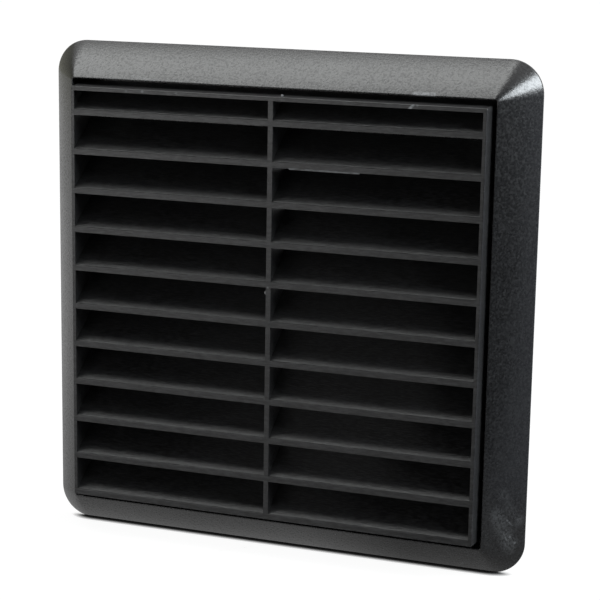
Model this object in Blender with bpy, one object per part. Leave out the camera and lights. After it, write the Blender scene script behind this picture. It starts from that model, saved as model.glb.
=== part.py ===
"""Louvred wall vent for a round duct: a surround screwed to the wall, and a louvre insert.

The vent keeps the frame in which it is fixed. The wall's face is the plane Y = 0, the front
looks towards -Y, X runs to the right as seen from outside and Z runs up. The duct's axis is
the Y axis, so the origin is the middle of the duct hole, on the wall's face.
"""

import math

import bmesh
import bpy

MM = 0.001

# Surround: its outside
OUTER_SIZE = 154.0 * MM
OUTER_CORNER_RADIUS = 10.0 * MM
RIM_HEIGHT = 0.8 * MM
BEZEL_WIDTH = 10.7 * MM
BEZEL_DEPTH = 12.2 * MM
BEZEL_CROWN = math.radians(6.0)
BEZEL_EDGE_RADIUS = 0.25 * MM

# Surround: the pocket that takes the insert, and the walls round it
POCKET_CORNER_RADIUS = 0.6 * MM
POCKET_WALL = 1.8 * MM
BEZEL_WALL = 2.0 * MM
BASE_THICKNESS = 2.0 * MM

# Surround: the spigot that enters a 100 mm duct
SPIGOT_DIAMETER = 98.0 * MM
SPIGOT_WALL = 1.8 * MM
SPIGOT_LENGTH = 32.0 * MM
SPIGOT_LEAD_IN = 0.8 * MM

# Surround: screw holes in the base plate, and ribs behind the bezel
SCREW_HOLE_DIAMETER = 4.5 * MM
SCREW_HOLE_INSET = 10.0 * MM
RIB_THICKNESS = 1.5 * MM
RIB_RECESS = 0.5 * MM
RIB_SPACING = 42.0 * MM
RIBS_PER_SIDE = 3

# Insert: its box frame, and the gaps to the pocket at its rear edge, where it is widest
INSERT_SIDE_GAP = 0.65 * MM
INSERT_END_GAP = 1.15 * MM
INSERT_PROTRUSION = 4.4 * MM
INSERT_DRAFT = 0.06
INSERT_CORNER_RADIUS = 0.6 * MM
INSERT_EDGE_RADIUS = 0.3 * MM
SIDE_WALL = 1.1 * MM
END_WALL = 1.2 * MM
SEAT_CLEARANCE = 0.3 * MM

# Insert: its blades and the upright bar
BLADE_COUNT = 11
BLADE_FACE = 1.8 * MM
BLADE_SETBACK = 2.3 * MM
BLADE_SLOPE = math.radians(35.0)
BLADE_EDGE_RADIUS = 0.3 * MM
FIRST_OPENING = 5.6 * MM
BAR_WIDTH = 1.5 * MM
BAR_SETBACK = 0.4 * MM

# Snap barbs on the insert, and their windows in the pocket's side walls
BARB_SPACING = 70.0 * MM
BARB_LENGTH = 8.4 * MM
BARB_BITE = 1.0 * MM
WINDOW_HEIGHT = 3.0 * MM
WINDOW_FROM_FLOOR = 2.4 * MM
WINDOW_CLEARANCE = 0.3 * MM

# How finely curves are cut, and how far shapes that are joined reach into each other
CORNER_SEGMENTS = 12
CROWN_SEGMENTS = 4
EDGE_SEGMENTS = 3
DUCT_SEGMENTS = 64
SCREW_HOLE_SEGMENTS = 20
FLAT_ANGLE = 0.3
ROOT = 0.5 * MM

PLASTIC_COLOUR = (0.021, 0.021, 0.022, 1.0)
PLASTIC_ROUGHNESS = 0.38


def clear_scene():
    """Remove what the scene holds, so that only the vent is in it."""
    for leftover in list(bpy.data.objects):
        bpy.data.objects.remove(leftover, do_unlink=True)


def black_plastic(name):
    """Return a satin black plastic material."""
    material = bpy.data.materials.new(name)
    material.use_nodes = True
    shader = material.node_tree.nodes["Principled BSDF"]
    shader.inputs["Base Color"].default_value = PLASTIC_COLOUR
    shader.inputs["Roughness"].default_value = PLASTIC_ROUGHNESS
    shader.inputs["Metallic"].default_value = 0.0
    return material


def rounded_corner(before, corner, after, radius):
    """Return the points of an arc that rounds the corner of a flat outline.

    The first and last point lie exactly on the outline's two sides.
    """
    side_before = math.dist(before, corner)
    side_after = math.dist(after, corner)
    to_before = [(before[axis] - corner[axis]) / side_before for axis in (0, 1)]
    to_after = [(after[axis] - corner[axis]) / side_after for axis in (0, 1)]
    half_opening = math.acos(to_before[0] * to_after[0] + to_before[1] * to_after[1]) / 2.0
    reach = radius / math.tan(half_opening)
    start = [corner[axis] + to_before[axis] * reach for axis in (0, 1)]
    end = [corner[axis] + to_after[axis] * reach for axis in (0, 1)]
    middle = [(start[axis] + end[axis]) / 2.0 for axis in (0, 1)]
    stretch = radius / math.sin(half_opening) / math.dist(middle, corner)
    centre = [corner[axis] + (middle[axis] - corner[axis]) * stretch for axis in (0, 1)]
    start_angle = math.atan2(start[1] - centre[1], start[0] - centre[0])
    end_angle = math.atan2(end[1] - centre[1], end[0] - centre[0])
    turn = math.remainder(end_angle - start_angle, 2.0 * math.pi)
    points = [tuple(start)]
    for step in range(1, EDGE_SEGMENTS):
        angle = start_angle + turn * step / EDGE_SEGMENTS
        points.append((centre[0] + radius * math.cos(angle), centre[1] + radius * math.sin(angle)))
    points.append(tuple(end))
    return points


def rounded_rectangle(half_width, half_height, radius, y):
    """Return one section of a loft: a rectangle across the Y axis with round corners."""
    points = []
    for corner, (side_x, side_z) in enumerate(((1, 1), (-1, 1), (-1, -1), (1, -1))):
        centre_x = side_x * (half_width - radius)
        centre_z = side_z * (half_height - radius)
        for step in range(CORNER_SEGMENTS + 1):
            angle = math.radians(90.0) * (corner + step / CORNER_SEGMENTS)
            x = centre_x + radius * math.cos(angle)
            z = centre_z + radius * math.sin(angle)
            points.append((x, y, z))
    return points


def circle(radius, y, segments, centre_x=0.0, centre_z=0.0):
    """Return one round section of a loft, across the Y axis."""
    points = []
    for step in range(segments):
        angle = 2.0 * math.pi * (step + 0.5) / segments
        points.append((centre_x + radius * math.cos(angle), y, centre_z + radius * math.sin(angle)))
    return points


def skin(shell, ring, following):
    """Span the gap between two rings of vertices with a band of faces."""
    for index in range(len(ring)):
        beside = (index + 1) % len(ring)
        shell.faces.new((ring[index], ring[beside], following[beside], following[index]))


def add_loft(shell, sections, ends):
    """Add a closed form skinned over the sections, with flat ends or joined end to end."""
    rings = [[shell.verts.new(point) for point in section] for section in sections]
    for ring, following in zip(rings, rings[1:]):
        skin(shell, ring, following)
    if ends == "flat":
        shell.faces.new(rings[0])
        shell.faces.new(list(reversed(rings[-1])))
    if ends == "joined":
        skin(shell, rings[-1], rings[0])
    bmesh.ops.recalc_face_normals(shell, faces=shell.faces)


def add_prism(shell, outline, start, travel):
    """Add a closed prism to a shell: an outline of 3D points, swept from start along travel."""
    near = [shell.verts.new([start[axis] + point[axis] for axis in range(3)]) for point in outline]
    far = [shell.verts.new([vertex.co[axis] + travel[axis] for axis in range(3)]) for vertex in near]
    faces = [shell.faces.new(near), shell.faces.new(list(reversed(far)))]
    for index in range(len(near)):
        beside = (index + 1) % len(near)
        faces.append(shell.faces.new((near[beside], near[index], far[index], far[beside])))
    bmesh.ops.recalc_face_normals(shell, faces=faces)


def as_object(name, shell, material=None, parent=None):
    """Turn a finished shell into a named object, with its material and its parent."""
    mesh = bpy.data.meshes.new(name)
    shell.to_mesh(mesh)
    shell.free()
    mesh.shade_smooth()
    mesh.set_sharp_from_angle(angle=math.radians(30.0))
    if material:
        mesh.materials.append(material)
    made = bpy.data.objects.new(name, mesh)
    bpy.context.scene.collection.objects.link(made)
    made.parent = parent
    return made


def as_tool(name, shell, parent):
    """Turn a shell into a shape that only cuts or joins: a wireframe that isn't rendered."""
    tool = as_object(name, shell, parent=parent)
    tool.display_type = "WIRE"
    tool.hide_render = True
    return tool


def combine(target, operation, tool):
    """Cut the tool from the target, or join it on, with an exact Boolean."""
    step = target.modifiers.new(tool.name, "BOOLEAN")
    step.operation = operation
    step.solver = "EXACT"
    step.object = tool


def merge_flat_faces(target):
    """Make one face of those that lie in one plane side by side, once all cuts are made."""
    step = target.modifiers.new("flat_faces", "DECIMATE")
    step.decimate_type = "DISSOLVE"
    step.angle_limit = math.radians(FLAT_ANGLE)


def pocket_half():
    """Return half the width of the square pocket that the bezel leaves open."""
    return OUTER_SIZE / 2.0 - BEZEL_WIDTH


def bezel_slope():
    """Return the mean angle of the bezel's face to the wall, such that its round crest is as
    high as the bezel is deep.

    The face is crowned: at its crest it is flatter than this by BEZEL_CROWN, and at the rim
    steeper by as much.
    """
    run = BEZEL_WIDTH - BEZEL_EDGE_RADIUS
    rise = BEZEL_DEPTH - RIM_HEIGHT - BEZEL_EDGE_RADIUS
    lift = BEZEL_EDGE_RADIUS * math.cos(BEZEL_CROWN)
    return math.atan2(rise, run) + math.asin(lift / math.hypot(run, rise))


def bezel_inside(offset):
    """Return the place along Y of the bezel's inner face at a distance from the vent's axis."""
    slope = bezel_slope()
    outside = -RIM_HEIGHT - (OUTER_SIZE / 2.0 - offset) * math.tan(slope)
    return outside + BEZEL_WALL / math.cos(slope)


def bezel_foot():
    """Return the distance from the vent's axis at which the bezel's inner face meets the wall."""
    return OUTER_SIZE / 2.0 - bezel_inside(OUTER_SIZE / 2.0) / math.tan(bezel_slope())


def arc_points(start, radius, first_angle, last_angle, segments):
    """Return the points after start of an arc whose tangent turns from one angle to another."""
    points = []
    for step in range(1, segments + 1):
        angle = first_angle + (last_angle - first_angle) * step / segments
        across = radius * (math.sin(angle) - math.sin(first_angle))
        along = radius * (math.cos(first_angle) - math.cos(angle))
        points.append((start[0] + across, start[1] + along))
    return points


def bezel_profile():
    """Return the outline from the pocket's wall over the round crest and the crowned face to
    the rim, as distances from the vent's axis and places along Y."""
    start = (pocket_half(), -BEZEL_DEPTH + BEZEL_EDGE_RADIUS)
    upright = math.radians(-90.0)
    flattest = bezel_slope() - BEZEL_CROWN
    steepest = bezel_slope() + BEZEL_CROWN
    crest = arc_points(start, BEZEL_EDGE_RADIUS, upright, flattest, 2 * EDGE_SEGMENTS)
    chord = math.dist(crest[-1], (OUTER_SIZE / 2.0, -RIM_HEIGHT))
    radius = chord / (2.0 * math.sin(BEZEL_CROWN))
    return [start] + crest + arc_points(crest[-1], radius, flattest, steepest, CROWN_SEGMENTS)


def tray_sections():
    """List the sections of the surround's tray: from the pocket's floor over the bezel's crest
    to the rim, and back through the channel behind the bezel to the base plate's back."""
    half_outer = OUTER_SIZE / 2.0
    half_pocket = pocket_half()
    growth = (OUTER_CORNER_RADIUS - POCKET_CORNER_RADIUS) / BEZEL_WIDTH
    sections = [
        rounded_rectangle(half_pocket, half_pocket, POCKET_CORNER_RADIUS, -BASE_THICKNESS)
    ]
    for offset, y in bezel_profile():
        corner_radius = POCKET_CORNER_RADIUS + growth * (offset - half_pocket)
        sections.append(rounded_rectangle(offset, offset, corner_radius, y))
    sections.append(rounded_rectangle(half_outer, half_outer, OUTER_CORNER_RADIUS, 0.0))

    wall_back = half_pocket + POCKET_WALL
    wall_radius = POCKET_CORNER_RADIUS + POCKET_WALL
    foot = bezel_foot()
    foot_radius = OUTER_CORNER_RADIUS - (half_outer - foot)
    sections.append(rounded_rectangle(foot, foot, foot_radius, 0.0))
    sections.append(rounded_rectangle(wall_back, wall_back, wall_radius, bezel_inside(wall_back)))
    sections.append(rounded_rectangle(wall_back, wall_back, wall_radius, 0.0))
    return sections


def tray_shell():
    """Make the bezel, the pocket's walls and the base plate, still without a hole."""
    shell = bmesh.new()
    add_loft(shell, tray_sections(), "flat")
    return shell


def spigot_shell():
    """Make the spigot as a full round, rooted in the base plate, with a lead-in at its end."""
    shell = bmesh.new()
    radius = SPIGOT_DIAMETER / 2.0
    sections = [
        circle(radius, -BASE_THICKNESS / 2.0, DUCT_SEGMENTS),
        circle(radius, SPIGOT_LENGTH - SPIGOT_LEAD_IN, DUCT_SEGMENTS),
        circle(radius - SPIGOT_LEAD_IN, SPIGOT_LENGTH, DUCT_SEGMENTS),
    ]
    add_loft(shell, sections, "flat")
    return shell


def duct_cutter():
    """Make the cutter for the round way through the base plate and the spigot."""
    shell = bmesh.new()
    radius = SPIGOT_DIAMETER / 2.0 - SPIGOT_WALL
    sections = [
        circle(radius, -BASE_THICKNESS - ROOT, DUCT_SEGMENTS),
        circle(radius, SPIGOT_LENGTH + ROOT, DUCT_SEGMENTS),
    ]
    add_loft(shell, sections, "flat")
    return shell


def turned(point, quarter):
    """Turn a point about the vent's axis by a number of quarter turns."""
    x, y, z = point
    for _ in range(quarter):
        x, z = -z, x
    return (x, y, z)


def ribs_shell():
    """Make the stiffening ribs that stand in the channel behind each side of the bezel."""
    near = pocket_half() + POCKET_WALL - ROOT
    far = bezel_foot()
    outline = (
        (near, -RIB_RECESS),
        (near, bezel_inside(near) - ROOT),
        (far, bezel_inside(far) - ROOT),
        (far, -RIB_RECESS),
    )
    shell = bmesh.new()
    for quarter in range(4):
        for rib in range(RIBS_PER_SIDE):
            place = (rib - (RIBS_PER_SIDE - 1) / 2.0) * RIB_SPACING - RIB_THICKNESS / 2.0
            points = [turned((offset, y, place), quarter) for offset, y in outline]
            add_prism(shell, points, (0.0, 0.0, 0.0), turned((0.0, 0.0, RIB_THICKNESS), quarter))
    return shell


def screw_hole_cutters():
    """Make the round cutters for the screw holes near the base plate's corners."""
    shell = bmesh.new()
    radius = SCREW_HOLE_DIAMETER / 2.0
    place = pocket_half() - SCREW_HOLE_INSET
    for centre_x in (-place, place):
        for centre_z in (-place, place):
            sections = [
                circle(radius, -BASE_THICKNESS - ROOT, SCREW_HOLE_SEGMENTS, centre_x, centre_z),
                circle(radius, ROOT, SCREW_HOLE_SEGMENTS, centre_x, centre_z),
            ]
            add_loft(shell, sections, "flat")
    return shell


def window_cutters():
    """Make the cutters for the windows that the insert's barbs snap into."""
    shell = bmesh.new()
    inner = pocket_half() - ROOT
    outer = pocket_half() + POCKET_WALL + ROOT
    rear = -BASE_THICKNESS - WINDOW_FROM_FLOOR
    front = rear - WINDOW_HEIGHT
    length = BARB_LENGTH + 2.0 * WINDOW_CLEARANCE
    outline = ((inner, rear), (outer, rear), (outer, front), (inner, front))
    for side in (-1, 1):
        points = [(side * offset, y, -length / 2.0) for offset, y in outline]
        for place in (-BARB_SPACING / 2.0, BARB_SPACING / 2.0):
            add_prism(shell, points, (0.0, 0.0, place), (0.0, 0.0, length))
    return shell


def make_surround(parent):
    """Model the surround and return its object."""
    material = black_plastic("surround_plastic")
    surround = as_object("surround", tray_shell(), material, parent)
    combine(surround, "UNION", as_tool("surround_ribs", ribs_shell(), surround))
    combine(surround, "UNION", as_tool("spigot", spigot_shell(), surround))
    combine(surround, "DIFFERENCE", as_tool("duct_hole", duct_cutter(), surround))
    combine(surround, "DIFFERENCE", as_tool("screw_holes", screw_hole_cutters(), surround))
    combine(surround, "DIFFERENCE", as_tool("barb_windows", window_cutters(), surround))
    merge_flat_faces(surround)
    return surround


def insert_depth():
    """Return the insert's depth, from its rear edge on the base plate to its front."""
    return BEZEL_DEPTH + INSERT_PROTRUSION - BASE_THICKNESS - SEAT_CLEARANCE


def insert_half_width():
    """Return half the width of the insert's front, which its draft makes narrower."""
    return pocket_half() - INSERT_SIDE_GAP - INSERT_DRAFT * insert_depth()


def insert_half_height():
    """Return half the height of the insert's front."""
    return pocket_half() - INSERT_END_GAP - INSERT_DRAFT * insert_depth()


def frame_sections():
    """List the sections of the insert's box frame, outside from rear to front and back inside."""
    depth = insert_depth()
    growth = INSERT_DRAFT * depth
    half_width = insert_half_width()
    half_height = insert_half_height()
    inside_width = half_width - SIDE_WALL
    inside_height = half_height - END_WALL
    sections = [
        rounded_rectangle(half_width + growth, half_height + growth, INSERT_CORNER_RADIUS, 0.0),
    ]
    rear = (growth, 0.0)
    corner = (0.0, -depth)
    inside = (-SIDE_WALL, -depth)
    for offset, y in rounded_corner(rear, corner, inside, INSERT_EDGE_RADIUS):
        width = half_width + offset
        height = half_height + offset
        sections.append(rounded_rectangle(width, height, INSERT_CORNER_RADIUS + offset, y))
    inside_radius = INSERT_CORNER_RADIUS / 2.0
    sections.append(rounded_rectangle(inside_width, inside_height, inside_radius, -depth))
    sections.append(rounded_rectangle(inside_width, inside_height, inside_radius, 0.0))
    return sections


def blade_outline(top, face):
    """Return a blade's outline across its length: an upright face, and a slope up to the rear.

    A blade that would run past the frame's top wall ends inside that wall.
    """
    steepness = math.tan(BLADE_SLOPE)
    front = -insert_depth()
    depth = insert_depth() - BLADE_SETBACK
    room_above = insert_half_height() - END_WALL + ROOT - top
    top_reach = min(depth, room_above / steepness)
    bottom_reach = min(depth, (room_above + BLADE_FACE) / steepness)
    top_front = (front, top)
    top_rear = (front + top_reach, top + top_reach * steepness)
    bottom_front = (front, top - face)
    bottom_rear = (front + bottom_reach, top - BLADE_FACE + bottom_reach * steepness)
    edge = rounded_corner(bottom_front, top_front, top_rear, BLADE_EDGE_RADIUS)
    return [bottom_front] + edge + [top_rear, bottom_rear]


def blades_shell():
    """Make the blades, each one across the whole frame with its ends in the side walls.

    The first one hangs below the top wall, and the last one's face is the lower border.
    """
    shell = bmesh.new()
    first_top = insert_half_height() - END_WALL - FIRST_OPENING
    last_top = BLADE_FACE - insert_half_height()
    pitch = (first_top - last_top) / (BLADE_COUNT - 1)
    half_length = insert_half_width() - SIDE_WALL + ROOT
    for blade in range(BLADE_COUNT):
        top = first_top - blade * pitch
        face = min(BLADE_FACE, top + insert_half_height() - END_WALL + ROOT)
        outline = [(-half_length, y, z) for y, z in blade_outline(top, face)]
        add_prism(shell, outline, (0.0, 0.0, 0.0), (2.0 * half_length, 0.0, 0.0))
    return shell


def bar_shell():
    """Make the upright bar in the middle, with its ends in the frame's top and bottom walls."""
    shell = bmesh.new()
    front = -insert_depth()
    rear = -BLADE_SETBACK - BAR_SETBACK
    half_length = insert_half_height() - END_WALL + ROOT
    half_width = BAR_WIDTH / 2.0
    outline = (
        (-half_width, front, -half_length),
        (half_width, front, -half_length),
        (half_width, rear, -half_length),
        (-half_width, rear, -half_length),
    )
    add_prism(shell, outline, (0.0, 0.0, 0.0), (0.0, 0.0, 2.0 * half_length))
    return shell


def barbs_shell():
    """Make the snap barbs: a catch face towards the front and a ramp that leads them in."""
    shell = bmesh.new()
    window_front = SEAT_CLEARANCE - WINDOW_FROM_FLOOR - WINDOW_HEIGHT
    catch = window_front + WINDOW_CLEARANCE
    ramp_end = window_front + WINDOW_HEIGHT - WINDOW_CLEARANCE
    tip = pocket_half() + BARB_BITE
    inner = insert_half_width() - SIDE_WALL + ROOT
    wall_at_ramp_end = insert_half_width() + INSERT_DRAFT * (insert_depth() + ramp_end)
    outline = (
        (inner, catch),
        (tip, catch),
        (tip, catch + WINDOW_CLEARANCE),
        (wall_at_ramp_end - ROOT, ramp_end),
        (inner, ramp_end),
    )
    for side in (-1, 1):
        points = [(side * offset, y, -BARB_LENGTH / 2.0) for offset, y in outline]
        for place in (-BARB_SPACING / 2.0, BARB_SPACING / 2.0):
            add_prism(shell, points, (0.0, 0.0, place), (0.0, 0.0, BARB_LENGTH))
    return shell


def make_louvre_insert(parent):
    """Model the louvre insert with its rear edge at its origin, seat it and return its object."""
    material = black_plastic("insert_plastic")
    frame = bmesh.new()
    add_loft(frame, frame_sections(), "joined")
    insert = as_object("louvre_insert", frame, material, parent)
    insert.location = (0.0, -BASE_THICKNESS - SEAT_CLEARANCE, 0.0)
    combine(insert, "UNION", as_tool("blades", blades_shell(), insert))
    combine(insert, "UNION", as_tool("upright_bar", bar_shell(), insert))
    combine(insert, "UNION", as_tool("snap_barbs", barbs_shell(), insert))
    merge_flat_faces(insert)
    return insert


def main():
    """Build the whole vent."""
    clear_scene()
    vent = bpy.data.objects.new("vent", None)
    bpy.context.scene.collection.objects.link(vent)
    make_surround(vent)
    make_louvre_insert(vent)


main()
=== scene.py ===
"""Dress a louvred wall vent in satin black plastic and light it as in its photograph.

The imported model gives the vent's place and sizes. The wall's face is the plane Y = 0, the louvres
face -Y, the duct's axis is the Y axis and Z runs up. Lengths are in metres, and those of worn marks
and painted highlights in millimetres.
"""

from __future__ import annotations

import logging
import math
from collections.abc import Callable
from dataclasses import dataclass
from enum import Enum

import bmesh
import bpy
from mathutils import Matrix, Vector

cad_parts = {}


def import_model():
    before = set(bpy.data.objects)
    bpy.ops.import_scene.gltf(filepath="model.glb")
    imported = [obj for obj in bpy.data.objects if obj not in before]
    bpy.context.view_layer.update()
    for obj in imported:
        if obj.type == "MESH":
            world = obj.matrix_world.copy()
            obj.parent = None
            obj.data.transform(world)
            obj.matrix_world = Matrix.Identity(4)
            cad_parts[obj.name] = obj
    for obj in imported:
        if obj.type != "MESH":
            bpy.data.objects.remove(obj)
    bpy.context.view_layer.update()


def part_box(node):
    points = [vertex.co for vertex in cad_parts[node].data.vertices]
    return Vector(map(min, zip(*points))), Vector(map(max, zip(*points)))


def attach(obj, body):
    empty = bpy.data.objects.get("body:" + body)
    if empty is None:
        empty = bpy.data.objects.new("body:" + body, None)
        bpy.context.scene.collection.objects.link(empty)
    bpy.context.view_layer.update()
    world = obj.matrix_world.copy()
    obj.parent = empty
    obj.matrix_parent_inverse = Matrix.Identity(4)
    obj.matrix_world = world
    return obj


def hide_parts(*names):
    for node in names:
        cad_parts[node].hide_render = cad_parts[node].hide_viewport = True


Pair = tuple[float, float]
Triple = tuple[float, float, float]
Piece = bpy.types.Object
Tree = bpy.types.NodeTree
Socket = bpy.types.NodeSocket

MM = 0.001
BODY = "root"
NEAR = 0.02 * MM  # places closer than this count as the same
OVERLAP = 0.5 * MM  # how far joined forms reach into each other, and cutters past a face
STRETCH = 100.0  # spreads the surround's rings along Y while they are bridged
FLAT = math.radians(0.3)  # faces that meet at less than this are taken as one
SHARP = math.radians(32.0)  # edges that turn more than this are rounded
SMOOTH = math.radians(40.0)  # edges that turn less than this are shaded smooth
WHITE = (1.0, 1.0, 1.0, 1.0)
BARB_PLACES = (-35.0 * MM, 35.0 * MM)

log = logging.getLogger("vent")


# Modelling bench


class Pick(Enum):
    """What an edit-mode selection is made of."""

    VERTS = "VERT"
    EDGES = "EDGE"
    FACES = "FACE"


class Cut(Enum):
    """How one closed form acts on another."""

    JOIN = "UNION"
    REMOVE = "DIFFERENCE"


def deselect_everything() -> None:
    """Leave edit mode and select nothing."""
    if bpy.context.object and bpy.context.object.mode != "OBJECT":
        bpy.ops.object.mode_set(mode="OBJECT")
    bpy.ops.object.select_all(action="DESELECT")


def make_active(piece: Piece) -> None:
    """Select one piece alone and make it the active one.

    Args:
        piece: The piece.
    """
    deselect_everything()
    piece.select_set(True)
    bpy.context.view_layer.objects.active = piece


def pick(piece: Piece, what: Pick, test: Callable[..., bool]) -> None:
    """Select elements of a piece in edit mode by their place.

    Args:
        piece: The piece, which is left in edit mode.
        what: Whether vertices, edges or faces are selected.
        test: Says whether an element of the edit mesh is selected.
    """
    if bpy.context.object is not piece or piece.mode != "EDIT":
        make_active(piece)
        bpy.ops.object.mode_set(mode="EDIT")
    bpy.ops.mesh.select_mode(type=what.value)
    bpy.ops.mesh.select_all(action="DESELECT")
    shell = bmesh.from_edit_mesh(piece.data)
    elements = {Pick.VERTS: shell.verts, Pick.EDGES: shell.edges, Pick.FACES: shell.faces}[what]
    for element in elements:
        if test(element):
            element.select_set(True)
    shell.select_flush_mode()
    bmesh.update_edit_mesh(piece.data)


def lies_at(element: bmesh.types.BMEdge | bmesh.types.BMFace, axis: int, place: float) -> bool:
    """Return whether all corners of an edge or a face lie at one place along an axis."""
    return all(abs(vertex.co[axis] - place) < NEAR for vertex in element.verts)


def round_selection(width: float, segments: int) -> None:
    """Bevel the selected edges of the mesh in edit mode."""
    bpy.ops.mesh.bevel(offset=width, offset_type="OFFSET", segments=segments)


def add_block(size: Triple, centre: Triple) -> Piece:
    """Add a box with its place in its mesh.

    Args:
        size: The box's lengths along X, Y and Z.
        centre: The box's middle.

    Returns:
        The box.
    """
    deselect_everything()
    bpy.ops.mesh.primitive_cube_add(size=1.0, location=centre)
    block = bpy.context.object
    block.scale = size
    bpy.ops.object.transform_apply(location=True, rotation=True, scale=True)
    return block


def add_round(radius: float, start: Vector, length: float, sides: int) -> Piece:
    """Add a round bar along +Y with its place in its mesh.

    Args:
        radius: The bar's radius.
        start: The middle of its first end.
        length: How far it runs along +Y.
        sides: How many flat sides its round has.

    Returns:
        The bar.
    """
    deselect_everything()
    bpy.ops.mesh.primitive_cylinder_add(
        vertices=sides,
        radius=radius,
        depth=length,
        location=start + Vector((0.0, length / 2.0, 0.0)),
        rotation=(math.pi / 2.0, math.pi / sides, 0.0),
    )
    bar = bpy.context.object
    bpy.ops.object.transform_apply(location=True, rotation=True, scale=True)
    return bar


def copy_moved(model: Piece, move: Matrix) -> Piece:
    """Copy a piece with its own mesh and move the copy's mesh.

    Args:
        model: The piece.
        move: The matrix that turns and shifts the copy's mesh.

    Returns:
        The copy.
    """
    copy = model.copy()
    copy.data = model.data.copy()
    bpy.context.collection.objects.link(copy)
    copy.data.transform(move)
    return copy


def join_pieces(pieces: list[Piece], name: str) -> Piece:
    """Put the meshes of several pieces into one object.

    Args:
        pieces: The pieces, of which the first takes up the others.
        name: The joined object's name.

    Returns:
        The joined object.
    """
    deselect_everything()
    for piece in pieces:
        piece.select_set(True)
    bpy.context.view_layer.objects.active = pieces[0]
    bpy.ops.object.join()
    joined = bpy.context.object
    joined.name = name
    return joined


def apply_modifier(piece: Piece, kind: str, **settings: object) -> None:
    """Add a modifier and apply it.

    Args:
        piece: The piece.
        kind: The modifier's type.
        **settings: The modifier's settings by name.
    """
    make_active(piece)
    modifier = piece.modifiers.new(kind.lower(), kind)
    for setting, value in settings.items():
        setattr(modifier, setting, value)
    bpy.ops.object.modifier_apply(modifier=modifier.name)


def combine(piece: Piece, tool: Piece, how: Cut) -> None:
    """Join a closed form to a piece or cut it away, and throw the tool away."""
    apply_modifier(piece, "BOOLEAN", operation=how.value, solver="EXACT", object=tool)
    bpy.data.objects.remove(tool, do_unlink=True)


def round_edges(piece: Piece, width: float, segments: int) -> None:
    """Round all sharp edges of a piece a little, as a mould does, and shade it smooth.

    Args:
        piece: The piece.
        width: The rounding's radius.
        segments: How many faces each rounding has.
    """
    make_active(piece)
    bpy.ops.object.mode_set(mode="EDIT")
    bpy.ops.mesh.select_mode(type="FACE")
    bpy.ops.mesh.select_all(action="SELECT")
    bpy.ops.mesh.dissolve_limited(angle_limit=FLAT)
    bpy.ops.object.mode_set(mode="OBJECT")
    apply_modifier(
        piece,
        "BEVEL",
        width=width,
        segments=segments,
        limit_method="ANGLE",
        angle_limit=SHARP,
        use_clamp_overlap=True,
        miter_outer="MITER_ARC",
        harden_normals=False,
    )
    bpy.ops.object.shade_smooth_by_angle(angle=SMOOTH)
    apply_modifier(piece, "WEIGHTED_NORMAL", keep_sharp=True, weight=60)


# Mouldings


class Moulding:
    """A moulding of the vent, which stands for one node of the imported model."""

    def build(self) -> Piece:
        """Model the moulding."""
        raise NotImplementedError

    def dress(self, finish: SatinBlackPlastic, node: str, slot: str) -> Piece:
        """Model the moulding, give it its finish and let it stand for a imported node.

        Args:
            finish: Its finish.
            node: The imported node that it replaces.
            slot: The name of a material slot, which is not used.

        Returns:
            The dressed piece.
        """
        piece = self.build()
        piece.data.materials.clear()
        piece.data.materials.append(finish.material())
        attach(piece, BODY)
        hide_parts(node)
        return piece


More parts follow.
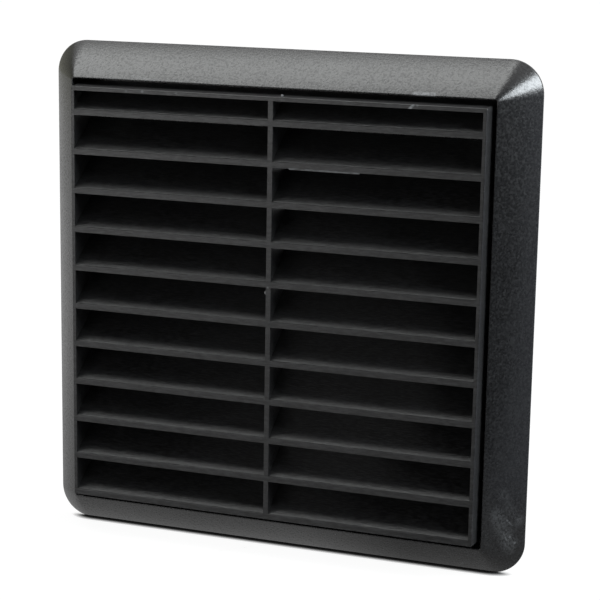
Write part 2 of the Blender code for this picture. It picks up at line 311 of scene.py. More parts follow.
@dataclass
class Surround(Moulding):
    """The square surround: bezel, pocket, base plate, spigot and the ribs behind the bezel."""

    half_outer: float
    spigot_end: float
    corner_radius: float = 10.0 * MM
    corner_segments: int = 20
    rim_height: float = 0.8 * MM
    rim_radius: float = 0.25 * MM
    rim_segments: int = 4
    bezel_width: float = 10.7 * MM
    bezel_depth: float = 12.2 * MM
    bezel_wall: float = 2.0 * MM
    crown: float = math.radians(6.0)
    crown_segments: int = 12
    crest_radius: float = 0.25 * MM
    crest_segments: int = 9
    pocket_corner: float = 0.6 * MM
    pocket_wall: float = 1.8 * MM
    base: float = 2.0 * MM
    rib_thickness: float = 1.5 * MM
    rib_recess: float = 0.5 * MM
    rib_places: Triple = (-42.0 * MM, 0.0, 42.0 * MM)
    spigot_radius: float = 49.0 * MM
    spigot_wall: float = 1.8 * MM
    spigot_lead_in: float = 0.8 * MM
    spigot_sides: int = 128
    screw_hole_radius: float = 2.25 * MM
    screw_hole_inset: float = 10.0 * MM
    screw_hole_sides: int = 32
    window_depth: float = -5.9 * MM
    window_height: float = 3.0 * MM
    window_length: float = 9.0 * MM
    edge_radius: float = 0.12 * MM
    edge_segments: int = 3
    name: str = "vent_surround"

    @property
    def half_pocket(self) -> float:
        """Half the width of the square pocket."""
        return self.half_outer - self.bezel_width

    @property
    def half_wall(self) -> float:
        """Half the width across the pocket's walls."""
        return self.half_pocket + self.pocket_wall

    @property
    def slope(self) -> float:
        """Work out the mean angle of the bezel's crowned face to the wall.

        Returns:
            The angle.
        """
        run = self.bezel_width - self.crest_radius
        rise = self.bezel_depth - self.rim_height - self.crest_radius
        lift = self.crest_radius * math.cos(self.crown)
        return math.atan2(rise, run) + math.asin(lift / math.hypot(run, rise))

    @property
    def foot(self) -> float:
        """Where the bezel's inner face meets the wall, as a distance from the axis."""
        return self.half_outer - self.inside_at(self.half_outer) / math.tan(self.slope)

    def inside_at(self, offset: float) -> float:
        """Return the place along Y of the bezel's inner face at a distance from the axis."""
        outside = -self.rim_height - (self.half_outer - offset) * math.tan(self.slope)
        return outside + self.bezel_wall / math.cos(self.slope)

    def _arc(
        self, start: Vector, radius: float, first: float, last: float, steps: int
    ) -> list[Vector]:
        """Draw an arc of the bezel's outline.

        Args:
            start: The point where the arc begins.
            radius: The arc's radius.
            first: The angle of its tangent at the start.
            last: The angle of its tangent at the end.
            steps: How many chords it has.

        Returns:
            The arc's points after the start.
        """
        points = []
        for step in range(1, steps + 1):
            angle = first + (last - first) * step / steps
            across = radius * (math.sin(angle) - math.sin(first))
            along = radius * (math.cos(first) - math.cos(angle))
            points.append(start + Vector((across, along)))
        return points

    def _profile(self) -> list[Vector]:
        """Draw the outline from the pocket's wall over the round crest and the crowned face.

        Returns:
            Points of distance from the vent's axis and place along Y, the last one at the rim.
        """
        start = Vector((self.half_pocket, self.crest_radius - self.bezel_depth))
        flattest, steepest = self.slope - self.crown, self.slope + self.crown
        crest = self._arc(start, self.crest_radius, -math.pi / 2.0, flattest, self.crest_segments)
        chord = (Vector((self.half_outer, -self.rim_height)) - crest[-1]).length
        radius = chord / (2.0 * math.sin(self.crown))
        face = self._arc(crest[-1], radius, flattest, steepest, self.crown_segments)
        return [start, *crest, *face]

    def _ring(self, half: float, radius: float, y: float, group: str) -> Piece:
        """Add a square wire ring with round corners that faces the wall.

        Rings are spread along Y by STRETCH, because a bridge between close rings gets twisted.

        Args:
            half: Half the ring's width.
            radius: Its corners' radius.
            y: Its place along Y before the stretch.
            group: The vertex group that names it.

        Returns:
            The ring.
        """
        deselect_everything()
        bpy.ops.mesh.primitive_plane_add(
            size=2.0 * half,
            location=(0.0, y * STRETCH, 0.0),
            rotation=(math.pi / 2.0, 0.0, 0.0),
        )
        ring = bpy.context.object
        bpy.ops.object.transform_apply(location=True, rotation=True, scale=True)
        bpy.ops.object.mode_set(mode="EDIT")
        bpy.ops.mesh.select_all(action="SELECT")
        bpy.ops.mesh.bevel(
            offset=radius,
            offset_type="OFFSET",
            affect="VERTICES",
            segments=self.corner_segments,
        )
        bpy.ops.mesh.select_all(action="SELECT")
        bpy.ops.mesh.delete(type="ONLY_FACE")
        bpy.ops.mesh.select_all(action="SELECT")
        ring.vertex_groups.new(name=group)
        bpy.ops.object.vertex_group_assign()
        bpy.ops.object.mode_set(mode="OBJECT")
        return ring

    def _close(self, tray: Piece, *groups: str) -> None:
        """Bridge two rings of the tray with a band, or close a single ring with a flat face.

        Args:
            tray: The tray that holds the rings.
            *groups: The vertex groups of the two rings, or of the one.
        """
        make_active(tray)
        bpy.ops.object.mode_set(mode="EDIT")
        bpy.ops.mesh.select_mode(type="VERT")
        bpy.ops.mesh.select_all(action="DESELECT")
        for group in groups:
            tray.vertex_groups.active_index = tray.vertex_groups[group].index
            bpy.ops.object.vertex_group_select()
        if len(groups) > 1:
            bpy.ops.mesh.bridge_edge_loops()
        else:
            bpy.ops.mesh.edge_face_add()
        bpy.ops.object.mode_set(mode="OBJECT")

    def _plan(self) -> dict[str, Triple]:
        """List the tray's rings from the pocket's floor over the bezel to the base plate.

        Returns:
            Half width, corner radius and place along Y of each ring by its name.
        """
        wall_radius = self.pocket_corner + self.pocket_wall
        foot_radius = self.corner_radius - (self.half_outer - self.foot)
        growth = (self.corner_radius - self.pocket_corner) / self.bezel_width
        plan = {"floor": (self.half_pocket, self.pocket_corner, -self.base)}
        for number, (offset, y) in enumerate(self._profile()):
            radius = self.pocket_corner + growth * (offset - self.half_pocket)
            plan[f"face_{number:02d}"] = (offset, radius, y)
        plan["rim_back"] = (self.half_outer, self.corner_radius, 0.0)
        plan["foot"] = (self.foot, foot_radius, 0.0)
        plan["channel"] = (self.half_wall, wall_radius, self.inside_at(self.half_wall))
        plan["plate_back"] = (self.half_wall, wall_radius, 0.0)
        return plan

    def _tray(self) -> Piece:
        """Bridge rings into the bezel, the pocket and the base plate, and round the rim.

        Returns:
            The tray, a closed form.
        """
        plan = self._plan()
        rings = [self._ring(half, radius, y, group) for group, (half, radius, y) in plan.items()]
        tray = join_pieces(rings, self.name)
        order = list(plan)
        for first, second in zip(order, order[1:]):
            self._close(tray, first, second)
        self._close(tray, order[0])
        self._close(tray, order[-1])
        tray.vertex_groups.clear()
        make_active(tray)
        tray.scale = (1.0, 1.0 / STRETCH, 1.0)
        bpy.ops.object.transform_apply(location=True, rotation=True, scale=True)
        pick(tray, Pick.EDGES, lambda edge: lies_at(edge, 1, -self.rim_height))
        round_selection(self.rim_radius, self.rim_segments)
        bpy.ops.mesh.select_all(action="SELECT")
        bpy.ops.mesh.normals_make_consistent(inside=False)
        bpy.ops.object.mode_set(mode="OBJECT")
        return tray

    def _ribs(self) -> Piece:
        """Model one stiffening rib and copy it behind all four sides of the bezel.

        Returns:
            All ribs as one object.
        """
        near = self.half_wall - OVERLAP
        back = -self.rib_recess
        front = self.inside_at(near) - OVERLAP
        centre = ((near + self.foot) / 2.0, (back + front) / 2.0, 0.0)
        rib = add_block((self.foot - near, back - front, self.rib_thickness), centre)
        corner = (self.foot, front)
        drop = self.inside_at(self.foot) - self.inside_at(near)
        pick(rib, Pick.VERTS, lambda v: math.dist((v.co.x, v.co.y), corner) < NEAR)
        bpy.ops.transform.translate(value=(0.0, drop, 0.0))
        deselect_everything()
        copies = []
        for quarter in range(4):
            turn = Matrix.Rotation(quarter * math.pi / 2.0, 4, "Y")
            for place in self.rib_places:
                copies.append(copy_moved(rib, turn @ Matrix.Translation((0.0, 0.0, place))))
        bpy.data.objects.remove(rib, do_unlink=True)
        return join_pieces(copies, "ribs")

    def _spigot(self) -> Piece:
        """Turn the spigot's full round, which starts inside the base plate.

        Returns:
            The round bar with the lead-in at its end.
        """
        inset = self.base / 2.0
        start = Vector((0.0, -inset, 0.0))
        bar = add_round(self.spigot_radius, start, self.spigot_end + inset, self.spigot_sides)
        pick(bar, Pick.EDGES, lambda edge: lies_at(edge, 1, self.spigot_end))
        round_selection(self.spigot_lead_in, 1)
        deselect_everything()
        return bar

    def _holes(self) -> Piece:
        """Place the cutters of the duct hole and the four screw holes.

        Returns:
            All five cutters as one object.
        """
        start = -self.base - OVERLAP
        bore = self.spigot_radius - self.spigot_wall
        reach = self.spigot_end + OVERLAP - start
        cutters = [add_round(bore, Vector((0.0, start, 0.0)), reach, self.spigot_sides)]
        depth = self.base + 2.0 * OVERLAP
        place = self.half_pocket - self.screw_hole_inset
        for x in (-place, place):
            for z in (-place, place):
                at = Vector((x, start, z))
                cutters.append(add_round(self.screw_hole_radius, at, depth, self.screw_hole_sides))
        return join_pieces(cutters, "holes")

    def _windows(self) -> Piece:
        """Place the cutters of the windows in the pocket's side walls.

        Returns:
            All four cutters as one object.
        """
        cutters = []
        size = (self.pocket_wall + 2.0 * OVERLAP, self.window_height, self.window_length)
        for side in (-1, 1):
            for z in BARB_PLACES:
                centre = (side * (self.half_pocket + self.pocket_wall / 2.0), self.window_depth, z)
                cutters.append(add_block(size, centre))
        return join_pieces(cutters, "windows")

    def build(self) -> Piece:
        """Model the surround.

        Returns:
            The finished piece, without its material.
        """
        tray = self._tray()
        combine(tray, self._ribs(), Cut.JOIN)
        combine(tray, self._spigot(), Cut.JOIN)
        combine(tray, self._holes(), Cut.REMOVE)
        combine(tray, self._windows(), Cut.REMOVE)
        round_edges(tray, self.edge_radius, self.edge_segments)
        return tray


@dataclass
class LouvreInsert(Moulding):
    """The louvre moulding: box frame, sloping blades, upright bar and snap barbs."""

    front: float
    half_height: float
    extra_half_width: float = 0.5 * MM
    rear: float = -2.3 * MM
    draft: float = 0.06
    corner_radius: float = 0.35 * MM
    lip_radius: float = 0.3 * MM
    round_segments: int = 4
    side_wall: float = 1.1 * MM
    end_wall: float = 1.2 * MM
    blade_count: int = 11
    blade_face: float = 1.8 * MM
    blade_rear: float = -4.6 * MM
    blade_slope: float = math.radians(35.0)
    first_opening: float = 5.6 * MM
    bar_width: float = 1.5 * MM
    bar_setback: float = 0.4 * MM
    barb_tip: float = 67.3 * MM
    barb_catch: float = -7.1 * MM
    barb_end: float = -4.7 * MM
    barb_length: float = 8.4 * MM
    barb_ramp: float = 2.3 * MM
    edge_radius: float = 0.08 * MM
    edge_segments: int = 2
    name: str = "vent_louvre_insert"

    @property
    def half_width(self) -> float:
        """Half the width of the frame's front."""
        return self.half_height + self.extra_half_width

    @property
    def inside_top(self) -> float:
        """The height of the frame's inside above the axis."""
        return self.half_height - self.end_wall

    @property
    def first_blade(self) -> float:
        """The height of the top blade's lip."""
        return self.inside_top - self.first_opening

    @property
    def pitch(self) -> float:
        """The step from blade to blade, the bottom one's face ending at the frame's edge."""
        last = self.blade_face - self.half_height
        return (self.first_blade - last) / (self.blade_count - 1)

    def _frame(self) -> Piece:
        """Model the box frame: a drafted block with a round front edge, opened through.

        Returns:
            The frame.
        """
        depth = self.rear - self.front
        middle = (0.0, (self.rear + self.front) / 2.0, 0.0)
        block = add_block((2.0 * self.half_width, depth, 2.0 * self.half_height), middle)
        pick(block, Pick.FACES, lambda face: lies_at(face, 1, self.rear))
        growth = self.draft * depth
        wider = (1.0 + growth / self.half_width, 1.0, 1.0 + growth / self.half_height)
        bpy.ops.transform.resize(value=wider, center_override=(0.0, self.rear, 0.0))
        pick(
            block,
            Pick.EDGES,
            lambda edge: abs(edge.verts[0].co.y - edge.verts[1].co.y) > depth / 2.0,
        )
        round_selection(self.corner_radius, self.round_segments)
        pick(block, Pick.EDGES, lambda edge: lies_at(edge, 1, self.front))
        round_selection(self.lip_radius, self.round_segments)
        deselect_everything()
        inside = (
            2.0 * (self.half_width - self.side_wall),
            depth + 4.0 * OVERLAP,
            2.0 * self.inside_top,
        )
        combine(block, add_block(inside, middle), Cut.REMOVE)
        block.name = self.name
        return block

    def _blade(self) -> Piece:
        """Model one blade: a block whose rear is raised, with a round lip along its top.

        Returns:
            The blade, its lip at the height of the axis.
        """
        half_length = self.half_width - self.side_wall + OVERLAP
        depth = self.blade_rear - self.front
        size = (2.0 * half_length, depth, self.blade_face)
        blade = add_block(size, (0.0, self.front + depth / 2.0, -self.blade_face / 2.0))
        pick(blade, Pick.FACES, lambda face: lies_at(face, 1, self.blade_rear))
        bpy.ops.transform.translate(value=(0.0, 0.0, depth * math.tan(self.blade_slope)))
        pick(
            blade,
            Pick.EDGES,
            lambda edge: lies_at(edge, 1, self.front) and lies_at(edge, 2, 0.0),
        )
        round_selection(self.lip_radius, self.round_segments)
        deselect_everything()
        return blade

    def _blades(self) -> list[Piece]:
        """Copy the blade down the frame, and cut off what passes the frame's inside.

        Returns:
            The blades from the top one to the bottom one.
        """
        model = self._blade()
        blades = []
        for number in range(self.blade_count):
            height = self.first_blade - number * self.pitch
            blades.append(copy_moved(model, Matrix.Translation((0.0, 0.0, height))))
        bpy.data.objects.remove(model, do_unlink=True)
        self._trim(blades[0], self.inside_top + OVERLAP, above=True)
        self._trim(blades[-1], -self.inside_top - OVERLAP, above=False)
        return blades

    def _trim(self, blade: Piece, level: float, above: bool) -> None:
        """Cut a blade off at a level and close the cut.

        Args:
            blade: The blade.
            level: The height of the cut.
            above: Whether the part above the cut is thrown away, or the part below it.
        """
        make_active(blade)
        bpy.ops.object.mode_set(mode="EDIT")
        bpy.ops.mesh.select_all(action="SELECT")
        bpy.ops.mesh.bisect(
            plane_co=(0.0, 0.0, level),
            plane_no=(0.0, 0.0, 1.0),
            use_fill=True,
            clear_outer=above,
            clear_inner=not above,
        )
        deselect_everything()

    def _bar(self) -> Piece:
        """Model the upright bar between the two columns of blades.

        Returns:
            The bar.
        """
        rear = self.blade_rear - self.bar_setback
        size = (self.bar_width, rear - self.front, 2.0 * (self.inside_top + OVERLAP))
        return add_block(size, (0.0, (rear + self.front) / 2.0, 0.0))

    def _burrs(self) -> Piece:
        """Model the moulding flash: a sliver under a blade, a flake on the bar and a tip on top.

        Returns:
            The three burrs as one object.
        """
        under_second = self.first_blade - self.pitch - self.blade_face
        bar_side = -self.bar_width / 2.0
        sliver_size = (21.6 * MM, 0.30 * MM, 0.42 * MM)
        sliver_place = (16.8 * MM, self.front + 0.18 * MM, under_second - 0.12 * MM)
        flake_size = (0.9 * MM, 0.30 * MM, 1.9 * MM)
        flake_place = (bar_side, self.front + 0.25 * MM, 6.1 * MM)
        flake_taper = 0.35
        tip_size = (0.6 * MM, 0.4 * MM, 1.1 * MM)
        tip_place = (3.4 * MM, self.front + 0.5 * MM, self.half_height + 0.3 * MM)
        sliver = add_block(sliver_size, sliver_place)
        flake = add_block(flake_size, flake_place)
        pick(flake, Pick.FACES, lambda face: lies_at(face, 0, bar_side - flake_size[0] / 2.0))
        bpy.ops.transform.resize(value=(1.0, 1.0, flake_taper))
        tip = add_block(tip_size, tip_place)
        deselect_everything()
        return join_pieces([sliver, flake, tip], "burrs")

    def _barbs(self) -> Piece:
        """Model the snap barbs on the side walls, each with a ramp that leads it in.

        Returns:
            The four barbs as one object.
        """

        def leads_in(vertex: bmesh.types.BMVert) -> bool:
            """Return whether a barb's corner is one that the ramp takes off."""
            at_tip = abs(abs(vertex.co.x) - self.barb_tip) < NEAR
            return at_tip and abs(vertex.co.y - self.barb_end) < NEAR

        inner = self.half_width - self.side_wall + OVERLAP
        size = (self.barb_tip - inner, self.barb_end - self.barb_catch, self.barb_length)
        middle = (self.barb_catch + self.barb_end) / 2.0
        barbs = []
        for side in (-1, 1):
            for z in BARB_PLACES:
                barb = add_block(size, (side * (self.barb_tip + inner) / 2.0, middle, z))
                pick(barb, Pick.VERTS, leads_in)
                bpy.ops.transform.translate(value=(-side * self.barb_ramp, 0.0, 0.0))
                deselect_everything()
                barbs.append(barb)
        return join_pieces(barbs, "barbs")

    def build(self) -> Piece:
        """Model the louvre insert.

        Returns:
            The finished piece, without its material.
        """
        frame = self._frame()
        for blade in self._blades():
            combine(frame, blade, Cut.JOIN)
        combine(frame, self._bar(), Cut.JOIN)
        combine(frame, self._barbs(), Cut.JOIN)
        combine(frame, self._burrs(), Cut.JOIN)
        round_edges(frame, self.edge_radius, self.edge_segments)
        return frame


# Finishes


def feed(tree: Tree, slot: Socket, value: object) -> None:
    """Link a node's input to a socket, or set it to a plain value.

    Args:
        tree: The node tree.
        slot: The input.
        value: The socket or the value.
    """
    if isinstance(value, Socket):
        tree.links.new(value, slot)
    else:
        slot.default_value = value


def add_math(tree: Tree, operation: str, *values: object) -> Socket:
    """Add a maths node for numbers.

    Args:
        tree: The node tree.
        operation: What the node works out.
        *values: Its inputs in order, as sockets or numbers.

    Returns:
        The result's socket.
    """
    node = tree.nodes.new("ShaderNodeMath")
    node.operation = operation
    for slot, value in zip(node.inputs, values):
        feed(tree, slot, value)
    return node.outputs["Value"]


def add_vector_math(tree: Tree, operation: str, *values: object) -> Socket:
    """Add a maths node for vectors.

    Args:
        tree: The node tree.
        operation: What the node works out.
        *values: Its inputs in order, as sockets or vectors.

    Returns:
        The result's socket.
    """
    node = tree.nodes.new("ShaderNodeVectorMath")
    node.operation = operation
    for slot, value in zip(node.inputs, values):
        feed(tree, slot, value)
    gives_number = operation in ("DOT_PRODUCT", "DISTANCE", "LENGTH")
    return node.outputs["Value" if gives_number else "Vector"]


def add_range(tree: Tree, value: Socket, source: Pair, target: Pair = (0.0, 1.0)) -> Socket:
    """Add a node that maps a number from one range to another and clamps it.

    Args:
        tree: The node tree.
        value: The number's socket.
        source: Where the number's range starts and ends.
        target: Where the result's range starts and ends.

    Returns:
        The result's socket.
    """
    node = tree.nodes.new("ShaderNodeMapRange")
    node.inputs["From Min"].default_value, node.inputs["From Max"].default_value = source
    node.inputs["To Min"].default_value, node.inputs["To Max"].default_value = target
    tree.links.new(value, node.inputs["Value"])
    return node.outputs["Result"]


def add_noise(tree: Tree, place: Socket, scale: float, detail: float) -> Socket:
    """Add a noise pattern.

    Args:
        tree: The node tree.
        place: The socket of the coordinates.
        scale: How many times the pattern changes in a metre.
        detail: How many finer layers it has.

    Returns:
        The socket of its value from 0 to 1.
    """
    noise = tree.nodes.new("ShaderNodeTexNoise")
    noise.inputs["Scale"].default_value = scale
    noise.inputs["Detail"].default_value = detail
    tree.links.new(place, noise.inputs["Vector"])
    return noise.outputs["Fac"]


def mix_colours(tree: Tree, share: Socket, first: object, second: object) -> Socket:
    """Add a node that mixes two colours.

    Args:
        tree: The node tree.
        share: The socket of the second colour's share.
        first: The first colour, as a socket or four numbers.
        second: The second colour, likewise.

    Returns:
        The mixed colour's socket.
    """
    mix = tree.nodes.new("ShaderNodeMix")
    mix.data_type = "RGBA"
    feed(tree, mix.inputs["Factor"], share)
    feed(tree, mix.inputs["A"], first)
    feed(tree, mix.inputs["B"], second)
    return mix.outputs["Result"]


@dataclass(frozen=True)
class Mark:
    """A pale mark from one point to another, in millimetres, standing for worn plastic and for
    painted highlights.

    It is strongest over its core, a share of its width, and fades out from there.
    """

    start: Triple
    end: Triple
    width: float
    strength: float
    core: float = 0.3

    def mask(self, tree: Tree, place: Socket) -> Socket:
        """Work out how strongly the mark covers a place, from the distance to its line.

        Args:
            tree: The node tree.
            place: The socket of the place.

        Returns:
            The socket of the cover.
        """
        start = Vector(self.start) * MM
        along = Vector(self.end) * MM - start
        away = add_vector_math(tree, "SUBTRACT", place, start)
        dot = add_vector_math(tree, "DOT_PRODUCT", away, along)
        least = 1e-12  # for a round mark, whose length is nought
        share = add_math(tree, "DIVIDE", dot, max(along.length_squared, least))
        share.node.use_clamp = True
        foot = add_vector_math(tree, "MULTIPLY", share, along)
        gap = add_vector_math(tree, "DISTANCE", away, foot)
        edge = self.width * MM
        return add_range(tree, gap, (edge, self.core * edge), (0.0, self.strength))


def dot_mark(place: Triple, width: float, strength: float) -> Mark:
    """Return a round mark."""
    return Mark(place, place, width, strength)


SURROUND_MARKS_AND_HIGHLIGHTS = (
    Mark((70.2, -8.8, -56.4), (73.6, -5.1, -66.2), 3.6, 0.045),
    Mark((71.5, -7.4, -50.0), (75.0, -3.2, -60.0), 2.4, 0.02),
    dot_mark((75.7, -2.5, -58.9), 2.0, 0.06),
    dot_mark((73.5, -5.2, -63.6), 0.6, 0.16),
    dot_mark((74.7, -3.8, -65.8), 0.7, 0.13),
    Mark((72.6, -6.2, -58.2), (73.9, -4.8, -60.1), 0.35, 0.12),
    Mark((71.9, -7.0, -62.3), (72.8, -6.0, -64.6), 0.35, 0.12),
    dot_mark((58.95, -4.5, -74.1), 0.8, 0.22),
    # painted highlights: pale smears along the top bezel's crest, where it catches the light
    Mark((42.3, -12.0, 66.9), (47.6, -11.9, 66.9), 1.1, 0.40),
    Mark((-46.8, -11.2, 67.7), (-39.2, -12.0, 66.8), 0.6, 0.12),
)
INSERT_MARKS = (
    dot_mark((-46.3, -16.6, 63.7), 0.55, 0.20),
    dot_mark((-41.0, -16.6, 63.8), 0.60, 0.30),
    dot_mark((-30.0, -16.6, 63.9), 0.60, 0.30),
    dot_mark((3.4, -16.3, 65.1), 0.75, 0.6),
    Mark((42.0, -16.6, 62.95), (43.2, -16.6, 64.1), 0.50, 0.65),
    dot_mark((44.4, -16.6, 64.1), 0.50, 0.35),
    Mark((6.0, -16.6, 43.60), (27.6, -16.6, 43.60), 0.34, 0.22),
    Mark((-1.3, -16.4, 5.4), (-1.3, -16.4, 6.9), 0.60, 0.45),
    dot_mark((-0.15, -16.6, 7.7), 0.50, 0.20),
)


@dataclass(frozen=True)
class SatinBlackPlastic:
    """Black moulded plastic with a satin surface, specks, fine pits, worn marks and painted
    highlights.
    """

    name: str
    marks: tuple[Mark, ...]
    colour: Triple = (0.0065, 0.0065, 0.0068)
    speck_dark: float = 0.55
    speck_pale: float = 1.45
    speck_range: Pair = (0.38, 0.66)
    # pale colour of the worn marks and of the painted highlights on the bezel's crest
    worn_and_highlight_colour: Triple = (0.30, 0.31, 0.32)
    worn_and_highlight_range: Pair = (0.35, 0.55)
    worn_and_highlight_least: float = 0.25
    refraction: float = 1.5
    roughness: float = 0.22
    smoother_by: float = 0.03
    rougher_by: float = 0.05
    pitting: float = 0.13
    pit_range: Pair = (0.45, 0.70)
    pit_scale_share: float = 0.9
    grain: float = 0.34
    grain_height: float = 0.10 * MM
    grain_scale: float = 1500.0
    grain_detail: float = 2.0
    streak: float = 1.0
    cloud_scale: float = 55.0
    cloud_detail: float = 4.0

    def _worn_and_highlit(self, tree: Tree, place: Socket, grain: Socket) -> Socket:
        """Work out where the pale marks lie, worn ones and painted highlights, broken up by the
        grain.

        Args:
            tree: The node tree.
            place: The socket of the place.
            grain: The socket of the grain's pattern.

        Returns:
            The socket of the share of worn marks and painted highlights.
        """
        cover = self.marks[0].mask(tree, place)
        for mark in self.marks[1:]:
            cover = add_math(tree, "MAXIMUM", cover, mark.mask(tree, place))
        patchy = add_range(tree, grain, self.worn_and_highlight_range, (self.worn_and_highlight_least, 1.0))
        return add_math(tree, "MULTIPLY", cover, patchy)

    def _colours(self, tree: Tree, place: Socket, grain: Socket) -> Socket:
        """Mix the specks of the plastic with the worn marks and painted highlights.

        Args:
            tree: The node tree.
            place: The socket of the place.
            grain: The socket of the grain's pattern.

        Returns:
            The socket of the colour.
        """
        dark = (*[self.speck_dark * part for part in self.colour], 1.0)
        pale = (*[self.speck_pale * part for part in self.colour], 1.0)
        specks = mix_colours(tree, add_range(tree, grain, self.speck_range), dark, pale)
        # worn marks and painted highlights laid over the specks
        worn_and_highlit = self._worn_and_highlit(tree, place, grain)
        return mix_colours(tree, worn_and_highlit, specks, (*self.worn_and_highlight_colour, 1.0))

    def material(self) -> bpy.types.Material:
        """Build the finish as a node material that reads Object coordinates.

        Returns:
            The material.
        """
        material = bpy.data.materials.new(self.name)
        material.use_nodes = True
        tree = material.node_tree
        shader = tree.nodes["Principled BSDF"]
        shader.inputs["IOR"].default_value = self.refraction
        place = tree.nodes.new("ShaderNodeTexCoord").outputs["Object"]
        drawn = add_vector_math(tree, "MULTIPLY", place, (self.streak, 1.0, 1.0))
        grain = add_noise(tree, drawn, self.grain_scale, self.grain_detail)
        feed(tree, shader.inputs["Base Color"], self._colours(tree, place, grain))

        cloud = add_noise(tree, place, self.cloud_scale, self.cloud_detail)
        around = (self.roughness - self.smoother_by, self.roughness + self.rougher_by)
        rough = add_range(tree, cloud, (0.0, 1.0), around)
        pit_scale = self.pit_scale_share * self.grain_scale
        pits = add_noise(tree, place, pit_scale, self.grain_detail)
        matt = add_range(tree, pits, self.pit_range, (0.0, self.pitting))
        feed(tree, shader.inputs["Roughness"], add_math(tree, "ADD", rough, matt))

        bump = tree.nodes.new("ShaderNodeBump")
        bump.inputs["Strength"].default_value = self.grain
        bump.inputs["Distance"].default_value = self.grain_height
        feed(tree, bump.inputs["Height"], grain)
        feed(tree, shader.inputs["Normal"], bump.outputs["Normal"])
        return material


SURROUND_PLASTIC = SatinBlackPlastic("surround_plastic", SURROUND_MARKS_AND_HIGHLIGHTS)
INSERT_PLASTIC = SatinBlackPlastic(
    "insert_plastic",
    INSERT_MARKS,
    colour=(0.0068, 0.0068, 0.0070),
    speck_pale=2.4,
    roughness=0.32,
    grain=0.6,
    grain_scale=2200.0,
    streak=0.22,
)


# Studio


def clear_tree(owner: bpy.types.Material | bpy.types.World) -> Tree:
    """Empty the node tree of a material or a world.

    Args:
        owner: The material or the world.

    Returns:
        The empty tree.
    """
    owner.use_nodes = True
    owner.node_tree.nodes.clear()
    return owner.node_tree


@dataclass(frozen=True)
class SoftBox:
    """An oblong lamp that shines from a place towards the vent."""

    name: str
    place: Triple
    width: float
    height: float
    radiance: float
    tint: Triple = (1.0, 1.0, 1.0)

    def switch_on(self) -> None:
        """Add the lamp, pointed at the vent's middle."""
        lamp = bpy.data.lights.new(self.name, "AREA")
        lamp.shape = "RECTANGLE"
        lamp.size = self.width
        lamp.size_y = self.height
        lamp.energy = self.radiance * self.width * self.height * math.pi
        lamp.color = self.tint
        holder = bpy.data.objects.new(self.name, lamp)
        bpy.context.scene.collection.objects.link(holder)
        holder.location = self.place
        holder.rotation_euler = Vector(self.place).to_track_quat("Z", "Y").to_euler()


@dataclass(frozen=True)
class Card:
    """A thin card that only reflections show."""

    name: str
    low: Triple
    high: Triple
    shade: float = 0.0
    fade: tuple[Pair, ...] = ()
    tint: Triple = (1.0, 1.0, 1.0)

    def _faded(self, tree: Tree) -> Socket:
        """Work out the shade of a card that changes along X.

        Args:
            tree: The node tree.

        Returns:
            The socket of the shade.
        """
        middle = 0.5
        place = tree.nodes.new("ShaderNodeTexCoord")
        along = tree.nodes.new("ShaderNodeSeparateXYZ")
        feed(tree, along.inputs["Vector"], place.outputs["Object"])
        ramp = tree.nodes.new("ShaderNodeValToRGB")
        stops = ramp.color_ramp.elements
        for _ in self.fade[2:]:
            stops.new(middle)
        for stop, (where, shade) in zip(stops, self.fade):
            stop.position = where + middle
            stop.color = (shade, shade, shade, 1.0)
        feed(tree, ramp.inputs["Fac"], add_math(tree, "ADD", along.outputs["X"], middle))
        return ramp.outputs["Color"]

    def hang(self) -> None:
        """Add the card between its two corners."""
        size = tuple(max(b - a, MM) for a, b in zip(self.low, self.high))
        centre = tuple((a + b) / 2.0 for a, b in zip(self.low, self.high))
        card = add_block(size, centre)
        card.name = "studio_" + self.name
        card.visible_camera = False
        card.visible_diffuse = False
        card.visible_shadow = False
        material = bpy.data.materials.new(card.name)
        tree = clear_tree(material)
        glow = tree.nodes.new("ShaderNodeEmission")
        glow.inputs["Color"].default_value = (*self.tint, 1.0)
        feed(tree, glow.inputs["Strength"], self._faded(tree) if self.fade else self.shade)
        output = tree.nodes.new("ShaderNodeOutputMaterial")
        feed(tree, output.inputs["Surface"], glow.outputs["Emission"])
        card.data.materials.append(material)


@dataclass(frozen=True)
class PhotoCamera:
    """The photograph's camera, found from the vent's outline, pocket and blades."""

    azimuth: float = math.radians(20.1)
    elevation: float = math.radians(12.1)
    roll: float = math.radians(0.93)
    target: Triple = (8.5 * MM, -12.2 * MM, 3.9 * MM)
    distance: float = 559.5 * MM
    focal_pixels: float = 1880.0
    frame_pixels: float = 600.0
    sensor_width: float = 36.0
    nearest: float = 0.01

    def set_up(self) -> None:
        """Add the camera and let the scene use it."""
        ahead = Vector(
            (
                -math.sin(self.azimuth) * math.cos(self.elevation),
                math.cos(self.azimuth) * math.cos(self.elevation),
                -math.sin(self.elevation),
            )
        )
        level = ahead.cross(Vector((0.0, 0.0, 1.0))).normalized()
        upright = level.cross(ahead)
        across = math.cos(self.roll) * level + math.sin(self.roll) * upright
        upward = math.cos(self.roll) * upright - math.sin(self.roll) * level
        pose = Matrix((across, upward, -ahead)).transposed().to_4x4()
        pose.translation = Vector(self.target) - ahead * self.distance
        lens = bpy.data.cameras.new("photo_camera")
        lens.sensor_width = self.sensor_width
        lens.lens = self.sensor_width * self.focal_pixels / self.frame_pixels
        lens.clip_start = self.nearest
        camera = bpy.data.objects.new("photo_camera", lens)
        bpy.context.scene.collection.objects.link(camera)
        camera.matrix_world = pose
        bpy.context.scene.camera = camera


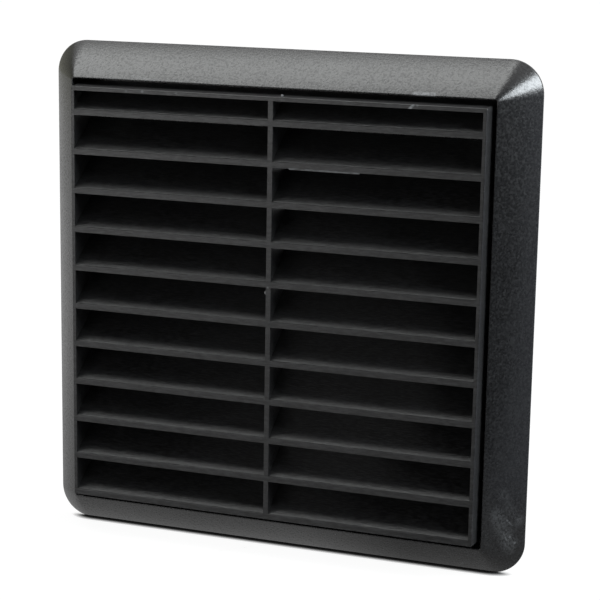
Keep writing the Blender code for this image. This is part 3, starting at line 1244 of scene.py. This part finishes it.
@dataclass(frozen=True)
class Studio:
    """Pale floor, plain surroundings, soft lamps and the cards about the table."""

    floor_level: float
    floor_size: float = 80.0
    floor_paint: float = 0.8
    floor_white: Pair = (1.06, 1.12)
    floor_white_from: Pair = (0.5, 2.5)
    floor_white_share: float = 0.9
    contact_reach: float = 2.4 * MM
    contact_range: Pair = (0.30, 0.90)
    surroundings: float = 0.3
    reach: float = 1.25
    ceiling: float = 1.0
    blue: Triple = (0.82, 0.87, 1.0)
    olive: Triple = (1.0, 1.0, 0.84)
    # shades of the floor card along X, darker to the right: painted shade of the floor under the
    # vent, which only reflections show
    floor_reflection_shade: tuple[Pair, ...] = (
        (-0.30, 0.72),
        (-0.10, 0.47),
        (-0.03, 0.42),
        (0.01, 0.46),
        (0.04, 0.25),
        (0.10, 0.27),
        (0.20, 0.0),
    )
    boxes: tuple[SoftBox, ...] = (
        SoftBox("overhead_box", (-0.32, -0.06, 1.00), 0.40, 0.95, 4.9, (0.98, 1.0, 0.99)),
        SoftBox("right_box", (1.25, 0.0, 0.67), 0.90, 0.66, 20.5, (0.90, 0.96, 1.0)),
        SoftBox("low_box", (-0.82, -1.25, 0.11), 0.85, 0.38, 3.0),
    )

    def _cards(self) -> tuple[Card, ...]:
        """Plan the dark cards around the table, and the grey ones under the vent.

        Returns:
            The cards.
        """
        low, top, end = self.floor_level, self.ceiling, self.reach
        ground, over = low + MM, low + 2.0 * MM
        blue, olive = self.blue, self.olive
        return (
            Card("card_front", (-0.40, -end, low), (end, -end, top), 0.2),
            Card("card_front_left", (-end, -end, 0.30), (-0.40, -end, top), 0.2),
            Card("card_above", (-end, -end, top), (end, -0.30, top), 0.0),
            Card("card_right_low", (end, -0.15, low), (end, end, 0.28), 0.5, tint=blue),
            Card("card_right_low_front", (end, -end, low), (end, -0.15, 0.28), 0.1, tint=blue),
            Card("card_right_front", (end, -end, 0.28), (end, -0.55, top), 0.3, tint=blue),
            Card("card_floor_right", (0.14, -0.04, over), (end, end, over), 0.34, tint=blue),
            Card("card_left", (-end, -end, low), (-end, end, top), 0.42, tint=olive),
            # painted shade of the floor under the vent, seen only in reflections
            Card("card_floor", (-end, -end, ground), (end, end, ground), fade=self.floor_reflection_shade),
        )

    def _mixed_white(self, tree: Tree, seen: Socket, lit: Socket, share: float = 1.0) -> Socket:
        """Mix what the camera and reflections see with what lights the vent.

        Args:
            tree: The node tree.
            seen: The shader that camera, glossy and transmission rays see.
            lit: The shader that all other rays meet.
            share: How much of the seen shader its rays get.

        Returns:
            The mixed shader's socket.
        """
        path = tree.nodes.new("ShaderNodeLightPath")
        rays = path.outputs["Is Camera Ray"]
        for kind in ("Is Glossy Ray", "Is Transmission Ray"):
            rays = add_math(tree, "MAXIMUM", rays, path.outputs[kind])
        mix = tree.nodes.new("ShaderNodeMixShader")
        feed(tree, mix.inputs["Fac"], add_math(tree, "MULTIPLY", rays, share))
        feed(tree, mix.inputs[1], lit)
        feed(tree, mix.inputs[2], seen)
        return mix.outputs["Shader"]

    def _world(self) -> None:
        """Surround the vent with plain light, white where the camera looks past it."""
        world = bpy.data.worlds.new("studio_world")
        bpy.context.scene.world = world
        tree = clear_tree(world)
        around = tree.nodes.new("ShaderNodeBackground")
        around.inputs["Color"].default_value = WHITE
        around.inputs["Strength"].default_value = self.surroundings
        white = tree.nodes.new("ShaderNodeBackground")
        white.inputs["Color"].default_value = WHITE
        mix = self._mixed_white(tree, white.outputs["Background"], around.outputs["Background"])
        output = tree.nodes.new("ShaderNodeOutputWorld")
        feed(tree, output.inputs["Surface"], mix)

    def _floor(self) -> None:
        """Lay the pale floor, white to the eye but for the shadow where the vent meets it."""
        deselect_everything()
        bpy.ops.mesh.primitive_plane_add(
            size=self.floor_size, location=(0.0, 0.0, self.floor_level)
        )
        floor = bpy.context.object
        floor.name = "studio_floor"
        material = bpy.data.materials.new("studio_floor_white")
        tree = clear_tree(material)
        paint = tree.nodes.new("ShaderNodeBsdfDiffuse")
        paint.inputs["Color"].default_value = (*[self.floor_paint] * 3, 1.0)
        white = tree.nodes.new("ShaderNodeEmission")
        white.inputs["Color"].default_value = WHITE
        place = tree.nodes.new("ShaderNodeTexCoord").outputs["Object"]
        away = add_vector_math(tree, "LENGTH", place)
        bright = add_range(tree, away, self.floor_white_from, self.floor_white)
        contact = tree.nodes.new("ShaderNodeAmbientOcclusion")
        contact.inputs["Distance"].default_value = self.contact_reach
        dim = add_range(tree, contact.outputs["AO"], self.contact_range)
        feed(tree, white.inputs["Strength"], add_math(tree, "MULTIPLY", bright, dim))
        mix = self._mixed_white(
            tree, white.outputs["Emission"], paint.outputs["BSDF"], self.floor_white_share
        )
        output = tree.nodes.new("ShaderNodeOutputMaterial")
        feed(tree, output.inputs["Surface"], mix)
        floor.data.materials.append(material)

    def set_up(self) -> None:
        """Set up the whole studio."""
        bpy.context.scene.view_settings.view_transform = "Standard"
        self._world()
        self._floor()
        for card in self._cards():
            card.hang()
        PhotoCamera().set_up()
        for box in self.boxes:
            box.switch_on()


def main() -> None:
    """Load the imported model, build and dress both mouldings, and set up the studio."""
    logging.basicConfig(level=logging.INFO, format="%(name)s: %(message)s")
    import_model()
    low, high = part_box("surround")
    front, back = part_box("louvre_insert")
    half_height = back[2] - LouvreInsert.draft * (back[1] - front[1])
    surround = Surround(half_outer=high[0], spigot_end=high[1])
    insert = LouvreInsert(front=front[1], half_height=half_height)
    for moulding, finish, node, slot in (
        (surround, SURROUND_PLASTIC, "surround", "surround_plastic"),
        (insert, INSERT_PLASTIC, "louvre_insert", "insert_plastic"),
    ):
        piece = moulding.dress(finish, node, slot)
        log.info("%s stands for %s with %d faces", piece.name, node, len(piece.data.polygons))
    Studio(floor_level=low[2]).set_up()


if __name__ == "__main__":
    main()
